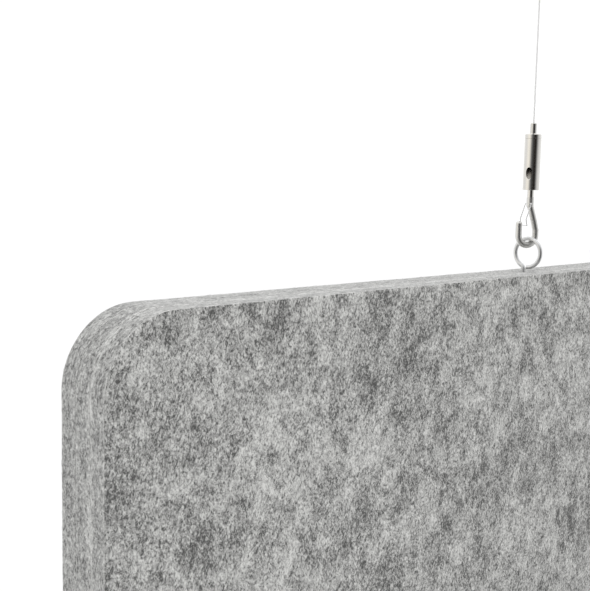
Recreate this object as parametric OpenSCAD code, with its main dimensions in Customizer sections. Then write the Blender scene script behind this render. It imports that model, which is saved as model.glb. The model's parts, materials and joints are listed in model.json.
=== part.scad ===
// Hanging acoustic felt panel on two wire hangers.
// Origin on the ceiling plane, midway between the two ceiling fittings, with +Z up.
// X runs along the panel, the front face looks towards -Y, and all sizes are in millimetres.

/* [Felt panel] */
// Length of the panel
panel_w = 1200; // [800:10:2400]
// Height of the panel
panel_h = 600; // [300:10:1200]
// Radius of the panel's four corners
corner_r = 33; // [5:1:80]
// Thickness of each of the three felt plies
ply_t = 9.9; // [7:0.1:15]
// Thickness of the bond film between two plies
film_t = 0.15; // [0.1:0.05:0.4]
// Distance that the bond film stays back from the panel's edge
film_inset = 3; // [1:0.5:10]
// Distance from each end of the panel to its hanger
hang_inset = 300; // [60:10:540]

/* [Anchor block] */
// Length of the anchor block in the core ply
block_w = 40; // [16:1:80]
// Height of the anchor block
block_h = 30; // [20:1:60]
// Depth of felt above the anchor block
block_cover = 8; // [4:1:20]

/* [Screw eye] */
// Outer diameter of the eye
eye_od = 19; // [16:0.2:30]
// Diameter of the eye's wire
eye_d = 2.4; // [1.6:0.1:3]
// Height of the eye's lowest point above the panel
eye_lift = 1.5; // [1:0.1:4]
// Radius of the bend between the shank and the eye
eye_bend_r = 2; // [1.8:0.1:3]
// Outer diameter of the wood thread on the shank
thread_d = 3.4; // [3.2:0.1:5]
// Length of the threaded shank below the panel's top
shank_len = 30; // [14:1:32]
// Distance between two crests of the thread
thread_pitch = 2; // [1:0.25:3]

/* [Hook] */
// Diameter of the hook's bar
hook_d = 3.7; // [2.6:0.1:4]
// Radius of the hook's bowl, to the middle of the bar
hook_rc = 5.55; // [5:0.05:8]
// Distance that the bowl sits to the side of the stem
hook_shift = 1.2; // [0:0.1:1.4]
// Height of the straight part of the hook's open arm
hook_arm = 6.5; // [5.6:0.1:9]
// Height from the bowl's centre to the boss
hook_rise = 17.4; // [16:0.1:24]
// Turn of the hook about the wire
hook_turn = -25; // [-40:1:0]
// Diameter of the hook's boss
boss_d = 4.2; // [4:0.1:6]
// Height of the hook's boss
boss_len = 4.6; // [4.4:0.1:8]
// Diameter of the wire gate
gate_d = 0.6; // [0.6:0.1:1]

/* [Gripper] */
// Outer diameter of the gripper
gripper_d = 9.5; // [9.4:0.1:12]
// Length of the gripper's housing
gripper_len = 29.2; // [29.2:0.1:40]
// Thickness of the housing's wall round the collar
gripper_wall = 0.8; // [0.6:0.05:1]
// Length of the nose above the housing
nose_len = 2.8; // [2:0.1:6]
// Length of the nose's threaded spigot
spigot_len = 6.4; // [5:0.1:7]
// Diameter of the spigot's thread
spigot_d = 7; // [6.8:0.1:7.6]
// Diameter of the side exit for the spare wire
exit_d = 3.6; // [2.4:0.1:3.6]
// Slant of the side exit from the wire
exit_tilt = 30; // [25:1:45]
// Turn of the side exit about the wire
exit_turn = 195; // [0:1:359]
// Diameter of the release plunger
plunger_d = 3.7; // [3.4:0.1:4]
// Length of the plunger that shows above the nose
plunger_show = 6.1; // [3:0.1:10]
// Travel of the plunger when it is pressed
plunger_travel = 2; // [1:0.1:2.4]
// Diameter of each clamping ball
ball_d = 1.6; // [1.2:0.1:1.8]
// Outer diameter of the plunger spring
spring_od = 5.4; // [5:0.1:5.6]
// Diameter of the spring's wire
spring_d = 0.5; // [0.3:0.05:0.6]
// Number of turns of the spring
spring_turns = 5; // [3:1:6]
// Diameter of the swivel stem
stem_d = 3.8; // [3:0.1:4]
// Length of the stem that shows below the housing
stem_show = 4; // [2:0.1:10]
// Height of the collar that holds the stem
collar_len = 2.2; // [1.5:0.1:3]
// Diameter of the stem's head
head_d = 7; // [6:0.1:7.2]
// Thickness of the stem's head
head_len = 2.2; // [1.2:0.1:2.4]

/* [Suspension wire] */
// Diameter of the steel wire
wire_d = 1; // [0.8:0.1:1.4]
// Length of wire between the plunger and the ceiling fitting
clear_wire = 80; // [70:1:3000]
// Diameter of the ball at the wire's upper end
stop_d = 4; // [3.4:0.1:5]

/* [Ceiling fitting] */
// Diameter of the ceiling fitting
fitting_d = 24; // [23:0.5:40]
// Height of the whole ceiling fitting
fitting_len = 20; // [20:0.5:40]
// Thickness of the base's flange
flange_t = 2.5; // [2:0.1:5]
// Diameter of the base's thread
base_thread_d = 18; // [16:0.5:19]
// Length of the base's thread
base_thread_len = 7; // [6:0.1:7.4]
// Diameter of the ceiling screw's hole
screw_hole_d = 4.4; // [3:0.1:6]
// Diameter of the recess for the screw's head
screw_head_d = 9; // [7:0.1:12]
// Depth of the recess for the screw's head
screw_head_len = 5.5; // [3:0.1:6]
// Diameter of the throat below the stop ball
throat_d = 2.4; // [2.2:0.1:2.8]

/* [Hidden] */
$fn = 96;

// Clearances: a seat between loose pieces, the ring's slanting seat in the bowl, a running fit, a
// close fit, the cut of an edge, and the spring's room beyond its closed turns and the plunger's travel
seat_gap = 0.2;
ring_gap = 0.3;
run_gap = 0.1;
close_gap = 0.02;
edge_cut = 0.15;
spring_close = 2.2;

// Panel
panel_t = 3 * ply_t + 2 * film_t;
hang_x = panel_w / 2 - hang_inset;

// Screw eye, all heights from the panel's top edge
eye_r = (eye_od - eye_d) / 2;
eye_h = eye_lift + eye_od / 2;
eye_start = 30;
eye_end = -2;
eye_neck = 0.5;
neck_high = [0, eye_r * sin(eye_start), eye_h - eye_r * cos(eye_start)];
neck_low = neck_high - eye_neck * [0, cos(eye_start), sin(eye_start)];
shank_y = neck_low.y - eye_bend_r * (1 - sin(eye_start));
shank_top = neck_low.z - eye_bend_r * cos(eye_start);
thread_top = -2;

// Hook
bowl_inner = hook_rc - hook_d / 2;
bowl_h = eye_h + eye_r + sqrt(pow(bowl_inner - eye_d / 2 - ring_gap, 2) - pow(hook_shift, 2));
arm_u = -hook_rc - hook_shift;
spine_u = hook_rc - hook_shift;
spine_low = bowl_h + 3;
spine_mid = bowl_h + 8.1;
boss_low = bowl_h + hook_rise;
boss_top = boss_low + boss_len;
bolt_d = 2.4;
bolt_len = 2.4;

// Wire gate, in the hook's own plane
pivot_u = -1;
pivot_h = boss_low + 1;
gate_v = boss_d / 2 + gate_d / 2 + seat_gap + 0.5;
tip_top = bowl_h + hook_arm + hook_d / 2;
knee_u = arm_u + 2.6;
knee_h = tip_top + 1;
bar_u = arm_u + hook_d / 2 + gate_d / 2 + seat_gap + 1;
bar_h = tip_top - 2.6;

// Gripper
gripper_r = gripper_d / 2;
gripper_low = boss_top + stem_show;
gripper_top = gripper_low + gripper_len;
nose_top = gripper_top + nose_len;
plunger_top = nose_top + plunger_show;
collar_r = gripper_r - gripper_wall;
collar_top = gripper_low + collar_len;
head_low = collar_top + run_gap;
head_top = head_low + head_len;
cavity_top = head_top + 0.3;
chamber_r = spring_od / 2 + 0.3;
wire_hole_r = wire_d / 2 + 0.3;
ball_h = gripper_top - 1.2;
ball_r = ball_d / 2;
ball_out = wire_d / 2 + ball_r + 0.04;
cone_r = ball_out + ball_r + run_gap;
cone_slope = 0.224;
cone_reach = 1.6;
guide_r = plunger_d / 2 + run_gap;
flange_top = ball_h - cone_reach - seat_gap;
flange_low = flange_top - 1.2;
flange_r = chamber_r - 0.25;
spring_room = plunger_travel + (spring_turns + 1) * spring_d + spring_close;
chamber_floor = flange_low - spring_room;
wire_hole_low = chamber_floor - 2.5;
exit_in_r = 1;
exit_in_h = chamber_floor - 2;

// Ceiling fitting, with its heights from the ceiling
fitting_low = plunger_top + clear_wire;
drop = fitting_low + fitting_len;
stop_r = stop_d / 2;
throat_r = throat_d / 2;
throat_z = -fitting_len + 2.5;
throat_len = 0.2;
seat_apex = throat_z + throat_len - throat_r;
stop_z = seat_apex + stop_r * sqrt(2) + run_gap;
dome_r = 9;
cap_top = -flange_t - seat_gap;
cap_bore_z = -flange_t - base_thread_len - 0.8;
cup_r = 5;

// The wire runs straight from inside the stop ball to below the clamping balls
wire_route = [[0, 0, drop + stop_z + 0.8 * stop_r], [0, 0, chamber_floor - 1.5]];
wire_sides = 8;
wire_step = 3;

// The spring's coil, of one round wire
spring_r = (spring_od - spring_d) / 2;
spring_low = chamber_floor + spring_d / 2;
spring_high = flange_low - spring_d / 2;
spring_pitch = (spring_high - spring_low) / spring_turns;
spring_sides = 6;
spring_rings = 12;
echo(spring_gap = spring_pitch - spring_d);
echo(drop = drop, stop_z = stop_z, eye_h = eye_h, bowl_h = bowl_h, gate_pivot = [pivot_u, pivot_h]);
echo(wire_length = wire_route[0].z - wire_route[1].z, nose_top = nose_top, plunger_top = plunger_top);

FELT = [0.62, 0.62, 0.61];
FILM = [0.8, 0.8, 0.78];
NICKEL = [0.72, 0.72, 0.72];
STEEL = [0.58, 0.59, 0.6];
NYLON = [0.85, 0.84, 0.8];

// Places a hanger's pieces on its side, with Z 0 at the panel's top edge
module at_side(side) {
    translate([side * hang_x, 0, -drop])
        children();
}

// A round solid turned about Z from its half outline of [radius, height] points
module turned(outline) {
    rotate_extrude()
        polygon(outline);
}

// A round bar between two points, straight or tapered
module bar(a, b, r1, r2) {
    d = b - a;
    len = norm(d);
    translate(a)
        rotate([0, acos(d.z / len), atan2(d.y, d.x)])
            cylinder(r1 = r1, r2 = r2, h = len);
}

// The points of one ring round p, in the plane of two directions
function ring_at(p, across, up, r, sides) =
    [for (k = [0 : sides - 1]) p + r * (cos(360 * k / sides) * across + sin(360 * k / sides) * up)];

// The faces of a tube's two ends and the triangles of its side
function tube_faces(rings, sides) = concat(
    [[for (k = [0 : sides - 1]) k]],
    [[for (k = [0 : sides - 1]) rings * sides - 1 - k]],
    [for (i = [0 : rings - 2], k = [0 : sides - 1])
        [i * sides + k, (i + 1) * sides + k, (i + 1) * sides + (k + 1) % sides]],
    [for (i = [0 : rings - 2], k = [0 : sides - 1])
        [i * sides + k, (i + 1) * sides + (k + 1) % sides, i * sides + (k + 1) % sides]]);

// A faceted tube through its rings
module tube(rings) {
    sides = len(rings[0]);
    polyhedron([for (ring = rings, p = ring) p], tube_faces(len(rings), sides));
}

// The panel's outline, less an inset all round, as a slab from y to y + t
module panel_slab(y, t, inset) {
    w = panel_w / 2 - inset;
    r = corner_r - inset;
    translate([0, y + t, 0])
        rotate([90, 0, 0])
            linear_extrude(t) {
                translate([-w, -panel_h + inset + r])
                    square([2 * w, panel_h - 2 * inset - 2 * r]);
                translate([-w + r, -panel_h + inset])
                    square([2 * w - 2 * r, panel_h - 2 * inset]);
                for (x = [-w + r, w - r], z = [-panel_h + inset + r, -inset - r])
                    translate([x, z])
                        circle(r);
            }
}

module front_felt_ply() {
    color(FELT)
        translate([0, 0, -drop])
            panel_slab(-panel_t / 2, ply_t, 0);
}

module rear_felt_ply() {
    color(FELT)
        translate([0, 0, -drop])
            panel_slab(panel_t / 2 - ply_t, ply_t, 0);
}

// The core ply holds the anchor blocks in pockets, and the shanks' holes
module core_felt_ply() {
    color(FELT)
        difference() {
            translate([0, 0, -drop])
                panel_slab(-ply_t / 2, ply_t, 0);
            for (side = [-1, 1])
                at_side(side) {
                    translate([-block_w / 2, -ply_t, -block_cover - block_h])
                        cube([block_w, 2 * ply_t, block_h]);
                    translate([0, shank_y, -block_cover - 1])
                        cylinder(d = thread_d + run_gap, h = block_cover + 2);
                }
        }
}

module front_bond_film() {
    color(FILM)
        translate([0, 0, -drop])
            panel_slab(-ply_t / 2 - film_t, film_t, film_inset);
}

module rear_bond_film() {
    color(FILM)
        translate([0, 0, -drop])
            panel_slab(ply_t / 2, film_t, film_inset);
}

// A nylon block with the shank's pilot hole
module anchor_block(side) {
    color(NYLON)
        at_side(side)
            difference() {
                translate([-block_w / 2, -ply_t / 2, -block_cover - block_h])
                    cube([block_w, ply_t, block_h]);
                translate([0, shank_y, -shank_len - 3])
                    cylinder(d = thread_d + run_gap, h = shank_len);
            }
}

// The eye stands across the panel: its ring, the bend and the threaded shank
module screw_eye(side) {
    crest = thread_d / 2;
    root = eye_d / 2;
    turns = floor((shank_len + thread_top - 2 * root) / thread_pitch);
    color(STEEL)
        at_side(side) {
            translate([0, 0, eye_h])
                rotate([90, 0, 90])
                    rotate([0, 0, eye_start - 90])
                        rotate_extrude(angle = 360 - eye_start - eye_end)
                            translate([eye_r, 0])
                                circle(d = eye_d);
            translate([0, shank_y + eye_bend_r, shank_top])
                rotate([90, 0, 90])
                    rotate([0, 0, 90 + eye_start])
                        rotate_extrude(angle = 90 - eye_start)
                            translate([eye_bend_r, 0])
                                circle(d = eye_d);
            bar(neck_high, neck_low, root, root);
            for (p = [neck_high, neck_low, [0, shank_y, shank_top]])
                translate(p)
                    sphere(1.04 * root);
            translate([0, shank_y, thread_top])
                cylinder(d = eye_d, h = shank_top - thread_top);
            translate([0, shank_y, 0])
                turned(concat(
                    [[0, thread_top]],
                    [for (i = [0 : turns - 1], k = [0, 1])
                        [k == 0 ? root : crest, thread_top - (i + 0.7 * k) * thread_pitch]],
                    [[root, thread_top - turns * thread_pitch], [0, -shank_len]]));
        }
}

// A round bar on Z with a domed end, from z = 0 up to the top of its dome
module domed_bar(r, h) {
    rotate_extrude() {
        square([r, h - r]);
        translate([0, h - r])
            intersection() {
                circle(r);
                square(r);
            }
    }
}

// Bowl, open arm, spine and boss, in the hook's own plane
module hook(side) {
    bar_r = hook_d / 2;
    knot_r = 1.04 * bar_r;
    neck_r = 0.45 * boss_d;
    color(NICKEL)
        at_side(side)
            rotate([0, 0, hook_turn])
                difference() {
                    union() {
                        translate([-hook_shift, 0, bowl_h])
                            rotate([90, 0, 0])
                                rotate([0, 0, 180])
                                    rotate_extrude(angle = 180)
                                        translate([hook_rc, 0])
                                            circle(r = bar_r);
                        translate([arm_u, 0, bowl_h])
                            domed_bar(bar_r, hook_arm + bar_r);
                        translate([spine_u, 0, bowl_h])
                            cylinder(r = bar_r, h = spine_low - bowl_h);
                        translate([spine_u, 0, spine_low])
                            sphere(r = knot_r);
                        bar([spine_u, 0, spine_low], [spine_u * 0.7, 0, spine_mid], bar_r, bar_r);
                        translate([spine_u * 0.7, 0, spine_mid])
                            sphere(r = knot_r);
                        bar([spine_u * 0.7, 0, spine_mid], [0, 0, boss_low], bar_r, neck_r);
                        translate([0, 0, boss_top])
                            rotate([180, 0, 0])
                                domed_bar(boss_d / 2, boss_len + boss_d / 2);
                    }
                    translate([0, 0, boss_top - bolt_len - seat_gap])
                        cylinder(d = bolt_d + 2 * close_gap, h = bolt_len + 1);
                    translate([pivot_u, boss_d, pivot_h])
                        rotate([90, 0, 0])
                            cylinder(d = gate_d + run_gap, h = 2 * boss_d);
                }
}

// A hairpin of spring wire: a pivot through the boss, two strands and a cross bar
module gate(side) {
    r = gate_d / 2;
    color(STEEL)
        at_side(side)
            rotate([0, 0, hook_turn]) {
                for (v = [-gate_v, gate_v]) {
                    bar([pivot_u, v, pivot_h], [knee_u, v, knee_h], r, r);
                    bar([knee_u, v, knee_h], [bar_u, v, bar_h], r, r);
                    for (p = [[pivot_u, v, pivot_h], [knee_u, v, knee_h], [bar_u, v, bar_h]])
                        translate(p)
                            sphere(1.1 * r);
                }
                bar([pivot_u, -gate_v, pivot_h], [pivot_u, gate_v, pivot_h], r, r);
                bar([bar_u, -gate_v, bar_h], [bar_u, gate_v, bar_h], r, r);
            }
}

// The stem turns in the collar, and its bolt is fast in the hook's boss
module swivel_stem(side) {
    color(NICKEL)
        at_side(side)
            turned([[0, boss_top - bolt_len], [bolt_d / 2, boss_top - bolt_len], [bolt_d / 2, boss_top],
                [stem_d / 2, boss_top], [stem_d / 2, head_low], [head_d / 2, head_low],
                [head_d / 2, head_top - 0.4], [head_d / 2 - 0.4, head_top], [0, head_top]]);
}

module collar(side) {
    inner = stem_d / 2 + run_gap;
    outer = collar_r - close_gap;
    color(NICKEL)
        at_side(side)
            turned([[inner, gripper_low], [outer, gripper_low], [outer, collar_top], [inner, collar_top]]);
}

module gripper_housing(side) {
    thread_r = spigot_d / 2 + close_gap;
    thread_low = gripper_top - spigot_len - seat_gap;
    color(NICKEL)
        at_side(side)
            difference() {
                turned([[0, cavity_top], [collar_r, cavity_top], [collar_r, gripper_low],
                    [gripper_r - edge_cut, gripper_low], [gripper_r, gripper_low + edge_cut],
                    [gripper_r, gripper_top - edge_cut], [gripper_r - edge_cut, gripper_top],
                    [thread_r, gripper_top], [thread_r, thread_low], [chamber_r, thread_low],
                    [chamber_r, chamber_floor], [wire_hole_r, chamber_floor],
                    [wire_hole_r, wire_hole_low], [0, wire_hole_low]]);
                rotate([0, 0, exit_turn])
                    translate([exit_in_r, 0, exit_in_h])
                        rotate([0, 180 - exit_tilt, 0])
                            cylinder(d = exit_d, h = 2 * gripper_d);
            }
}

// The nose closes the housing, guides the plunger and wedges the balls in its cone
module gripper_nose(side) {
    cone_top = ball_h + (cone_r - guide_r) / cone_slope;
    cone_low = ball_h - cone_reach;
    spigot_low = gripper_top - spigot_len;
    color(NICKEL)
        at_side(side)
            turned([[guide_r, nose_top], [gripper_r - 0.5, nose_top], [gripper_r, nose_top - 0.5],
                [gripper_r, gripper_top + edge_cut], [gripper_r - edge_cut, gripper_top],
                [spigot_d / 2, gripper_top], [spigot_d / 2, spigot_low], [chamber_r, spigot_low],
                [chamber_r, cone_low], [cone_r + cone_reach * cone_slope, cone_low],
                [guide_r, cone_top]]);
}

// A sleeve on the wire with a flange for the spring and three pockets for the balls
module plunger(side) {
    bore = wire_d / 2 + 0.15;
    outer = plunger_d / 2;
    color(STEEL)
        at_side(side)
            difference() {
                turned([[bore, flange_low], [flange_r, flange_low], [flange_r, flange_top],
                    [outer, flange_top], [outer, plunger_top - 0.4], [outer - 0.4, plunger_top],
                    [bore, plunger_top]]);
                for (a = [0, 120, 240])
                    rotate([0, 90, a])
                        translate([-ball_h, 0, 0])
                            cylinder(r = ball_r + run_gap / 2, h = plunger_d);
            }
}

module clamp_balls(side) {
    color(STEEL)
        at_side(side)
            for (a = [0, 120, 240])
                rotate([0, 0, a])
                    translate([ball_out, 0, ball_h])
                        sphere(ball_r);
}

module plunger_spring(side) {
    steps = spring_turns * spring_rings;
    color(STEEL)
        at_side(side)
            tube([for (i = [0 : steps])
                let (a = 360 * i / spring_rings)
                ring_at([spring_r * cos(a), spring_r * sin(a), spring_low + spring_pitch * i / spring_rings],
                    [cos(a), sin(a), 0], [0, 0, 1], spring_d / 2, spring_sides)]);
}

module wire(side) {
    top = wire_route[0];
    foot = wire_route[1];
    steps = ceil(norm(foot - top) / wire_step);
    color(STEEL)
        at_side(side)
            tube([for (i = [0 : steps])
                ring_at(foot + (top - foot) * i / steps, [0, 1, 0], [1, 0, 0], wire_d / 2, wire_sides)]);
}

// The stop ball is pressed on the wire and turns in the cap's seat
module stop_ball(side) {
    color(STEEL)
        at_side(side)
            translate([0, 0, drop + stop_z])
                difference() {
                    sphere(stop_r);
                    translate([0, 0, -stop_d])
                        cylinder(d = wire_d + 2 * close_gap, h = 2 * stop_d);
                }
}

// The cap screws on the base, with a seat, a throat and a flare for the wire
module ceiling_cap(side) {
    outer = fitting_d / 2;
    thread_r = base_thread_d / 2 + close_gap;
    flare_r = throat_r + 1.2;
    flat_r = outer - dome_r;
    color(NICKEL)
        at_side(side)
            translate([0, 0, drop])
                rotate_extrude()
                    difference() {
                        union() {
                            translate([0, -fitting_len])
                                square([flat_r, fitting_len + cap_top]);
                            translate([0, -fitting_len + dome_r])
                                square([outer, fitting_len - dome_r + cap_top]);
                            translate([flat_r, -fitting_len + dome_r])
                                intersection() {
                                    circle(dome_r);
                                    translate([0, -dome_r])
                                        square(dome_r);
                                }
                        }
                        polygon([[0, 1], [thread_r, 1], [thread_r, cap_bore_z], [cup_r, cap_bore_z],
                            [cup_r, seat_apex + cup_r], [throat_r, seat_apex + throat_r],
                            [throat_r, throat_z], [flare_r, -fitting_len], [flare_r, -fitting_len - 1],
                            [0, -fitting_len - 1]]);
                    }
}

module ceiling_base(side) {
    low = -flange_t - base_thread_len;
    color(NICKEL)
        at_side(side)
            translate([0, 0, drop])
                difference() {
                    union() {
                        translate([0, 0, -flange_t])
                            cylinder(d = fitting_d, h = flange_t);
                        translate([0, 0, low])
                            cylinder(d = base_thread_d, h = base_thread_len + flange_t / 2);
                    }
                    translate([0, 0, low - 1])
                        cylinder(d = screw_hole_d, h = -low + 2);
                    translate([0, 0, low - 1])
                        cylinder(d = screw_head_d, h = screw_head_len + 1);
                }
}

front_felt_ply();
core_felt_ply();
rear_felt_ply();
front_bond_film();
rear_bond_film();
anchor_block(-1);  // left_anchor_block
anchor_block(1);  // right_anchor_block
screw_eye(-1);  // left_screw_eye
screw_eye(1);  // right_screw_eye
hook(-1);  // left_hook
hook(1);  // right_hook
gate(-1);  // left_gate
gate(1);  // right_gate
swivel_stem(-1);  // left_swivel_stem
swivel_stem(1);  // right_swivel_stem
collar(-1);  // left_collar
collar(1);  // right_collar
gripper_housing(-1);  // left_gripper_housing
gripper_housing(1);  // right_gripper_housing
gripper_nose(-1);  // left_gripper_nose
gripper_nose(1);  // right_gripper_nose
plunger(-1);  // left_plunger
plunger(1);  // right_plunger
clamp_balls(-1);  // left_clamp_balls
clamp_balls(1);  // right_clamp_balls
plunger_spring(-1);  // left_plunger_spring
plunger_spring(1);  // right_plunger_spring
wire(-1);  // left_wire
wire(1);  // right_wire
stop_ball(-1);  // left_stop_ball
stop_ball(1);  // right_stop_ball
ceiling_cap(-1);  // left_ceiling_cap
ceiling_cap(1);  // right_ceiling_cap
ceiling_base(-1);  // left_ceiling_base
ceiling_base(1);  // right_ceiling_base
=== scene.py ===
# %% [markdown]
# A grey felt panel hangs from a ceiling on two steel wires.
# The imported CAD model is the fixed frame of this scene: it has the hooks, grippers and fittings at
# their real size. What is soft, stranded or springy is modelled here around it: the felt, the wires
# and the springs inside the grippers.

# %% Load the frame
import json
import math

import bmesh
import bpy
from mathutils import Matrix, Vector, noise


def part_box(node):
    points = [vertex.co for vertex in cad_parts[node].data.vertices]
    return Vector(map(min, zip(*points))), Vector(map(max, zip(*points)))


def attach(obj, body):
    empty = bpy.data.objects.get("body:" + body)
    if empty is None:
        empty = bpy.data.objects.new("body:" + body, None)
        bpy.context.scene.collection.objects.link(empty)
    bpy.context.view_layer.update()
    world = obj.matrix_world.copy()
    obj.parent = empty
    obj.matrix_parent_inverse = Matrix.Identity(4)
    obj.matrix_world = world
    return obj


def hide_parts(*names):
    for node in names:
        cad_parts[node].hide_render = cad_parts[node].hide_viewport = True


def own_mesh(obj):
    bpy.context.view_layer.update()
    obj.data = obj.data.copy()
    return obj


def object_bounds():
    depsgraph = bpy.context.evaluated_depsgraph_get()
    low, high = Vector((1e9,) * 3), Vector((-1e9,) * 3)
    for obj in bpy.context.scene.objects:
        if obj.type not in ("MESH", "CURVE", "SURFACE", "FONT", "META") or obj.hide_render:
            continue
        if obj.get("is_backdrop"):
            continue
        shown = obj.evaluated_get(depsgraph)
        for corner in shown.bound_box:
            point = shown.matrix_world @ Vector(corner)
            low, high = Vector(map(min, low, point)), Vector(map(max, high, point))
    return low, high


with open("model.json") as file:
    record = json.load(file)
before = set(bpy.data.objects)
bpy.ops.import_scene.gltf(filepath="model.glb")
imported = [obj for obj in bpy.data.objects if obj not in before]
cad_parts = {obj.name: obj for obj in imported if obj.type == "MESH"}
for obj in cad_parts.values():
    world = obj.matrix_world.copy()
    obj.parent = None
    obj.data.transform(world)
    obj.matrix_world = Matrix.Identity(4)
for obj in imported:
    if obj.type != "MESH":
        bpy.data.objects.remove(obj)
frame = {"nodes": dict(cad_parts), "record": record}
cad_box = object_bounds()
scene = bpy.context.scene
print("CAD box", [round(x, 3) for corner in cad_box for x in corner])

# %% [markdown]
# The camera is a plain pinhole camera, set where the photographer stood.
# Its place and turn came from matching the panel's outlines, so they are just numbers here. The focal
# length is known in pixels, and Blender wants millimetres on a sensor, which is one ratio.
# The rotation is built from three directions, because that is easier to check than Euler angles.

# %% Set up the camera
PICTURE_WIDTH_PX = 590
FOCAL_PX = 1004.86
SENSOR_MM = 36
NEAREST_SEEN = 0.01
CAMERA_AT = Vector((-0.80382, -0.32103, -0.13439))
YAW = math.radians(44.486)
PITCH = math.radians(6.614)
ROLL = math.radians(1.135)

ahead = Vector((math.sin(YAW) * math.cos(PITCH), math.cos(YAW) * math.cos(PITCH), -math.sin(PITCH)))
level = Vector((math.cos(YAW), -math.sin(YAW), 0))
upright = level.cross(ahead)
right = level * math.cos(ROLL) + upright * math.sin(ROLL)
up = upright * math.cos(ROLL) - level * math.sin(ROLL)

camera = bpy.data.objects.new("camera", bpy.data.cameras.new("camera"))
camera.data.sensor_width = SENSOR_MM
camera.data.sensor_fit = "HORIZONTAL"
camera.data.lens = FOCAL_PX * SENSOR_MM / PICTURE_WIDTH_PX
camera.data.clip_start = NEAREST_SEEN
camera.matrix_world = Matrix.Translation(CAMERA_AT) @ Matrix((right, up, -ahead)).transposed().to_4x4()
scene.collection.objects.link(camera)
scene.camera = camera
print("lens", round(camera.data.lens, 2), "mm")

# %% [markdown]
# Materials and Geometry Nodes are both node trees, and both need a lot of small sums.
# So one class wraps an output socket and lets Python's own signs add Math nodes: `1 - mask * 0.5`
# becomes two nodes. A second class adds any other node, with its settings first and its inputs after.

# %% Helpers for node trees
class Value:
    """An output socket that can be added, multiplied and divided like a number."""

    def __init__(self, bench, socket):
        self.bench = bench
        self.socket = socket

    def output(self, name):
        """Another output of the same node."""
        return Value(self.bench, self.socket.node.outputs[name])

    def maths(self, operation, *others):
        return self.bench.maths(operation, self, *others)

    def clamped(self):
        """Itself, but never below 0 or above 1."""
        return self.maths("MAXIMUM", 0.0).maths("MINIMUM", 1.0)

    def __add__(self, other):
        return self.maths("ADD", other)

    def __sub__(self, other):
        return self.maths("SUBTRACT", other)

    def __mul__(self, other):
        return self.maths("MULTIPLY", other)

    def __truediv__(self, other):
        return self.maths("DIVIDE", other)

    def __rsub__(self, other):
        return self.bench.maths("SUBTRACT", other, self)

    __radd__ = __add__
    __rmul__ = __mul__


class Bench:
    """A node tree, and the one method that adds a node to it, with short forms for common nodes."""

    def __init__(self, tree):
        self.tree = tree

    def node(self, kind, settings=(), inputs=(), output=0):
        """A new node. An input takes a number, a value or, where a socket has many links, a list."""
        made = self.tree.nodes.new(kind)
        for name, setting in dict(settings).items():
            if name == "stops":
                set_stops(made.color_ramp, setting)
            else:
                setattr(made, name, setting)
        for name, given in dict(inputs).items():
            for value in given if isinstance(given, list) else [given]:
                if isinstance(value, Value):
                    self.tree.links.new(value.socket, made.inputs[name])
                else:
                    made.inputs[name].default_value = value
        return Value(self, made.outputs[output]) if made.outputs else made

    def maths(self, operation, *values):
        return self.node("ShaderNodeMath", {"operation": operation}, enumerate(values))

    def vector_maths(self, operation, *values):
        return self.node("ShaderNodeVectorMath", {"operation": operation}, enumerate(values))

    def vector(self, x=0.0, y=0.0, z=0.0):
        return self.node("ShaderNodeCombineXYZ", {}, {0: x, 1: y, 2: z})

    def part(self, vector, axis):
        """A vector's part along axis 0, 1 or 2."""
        return self.node("ShaderNodeSeparateXYZ", {}, {0: vector}, axis)

    def blend(self, share, low, high):
        """A colour between two others."""
        ends = [end if isinstance(end, Value) else colour_of(end) for end in (low, high)]
        return self.node("ShaderNodeMix", {"data_type": "RGBA"}, {0: share, 6: ends[0], 7: ends[1]}, 2)

    def object_place(self):
        return self.node("ShaderNodeTexCoord", {}, {}, "Object")

    def noise_at(self, place, scale, detail, roughness=0.5, distortion=0.0):
        return self.node("ShaderNodeTexNoise", {}, {
            "Vector": place, "Scale": scale, "Detail": detail,
            "Roughness": roughness, "Distortion": distortion})

    def bump(self, height, strength, depth):
        return self.node(
            "ShaderNodeBump", {}, {"Strength": strength, "Distance": depth, "Height": height})


def set_stops(ramp, stops):
    """Gives a colour ramp its stops, each a place from 0 to 1 and a grey or a colour."""
    while len(ramp.elements) > 1:
        ramp.elements.remove(ramp.elements[-1])
    for i, (place, colour) in enumerate(stops):
        stop = ramp.elements[0] if i == 0 else ramp.elements.new(place)
        stop.position = place
        stop.color = colour_of(colour)


def colour_of(colour):
    """A grey or an RGB triple as Blender's RGBA."""
    rgb = (colour,) * 3 if isinstance(colour, (int, float)) else tuple(colour)
    return (*rgb, 1.0)


def add_piece(name, mesh):
    """Puts a mesh in the scene as a piece that sits at the origin."""
    mesh.name = name
    piece = bpy.data.objects.new(name, mesh)
    scene.collection.objects.link(piece)
    return piece


print("helpers for node trees are ready")

# %% [markdown]
# A geometry tree is finished in the same way each time: its sizes come in as named inputs, its result
# is realised and gets its material, and then the result is copied out as a plain mesh. The modifier
# goes away with the helper object, so what is left is an ordinary piece with its place in its mesh.

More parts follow.
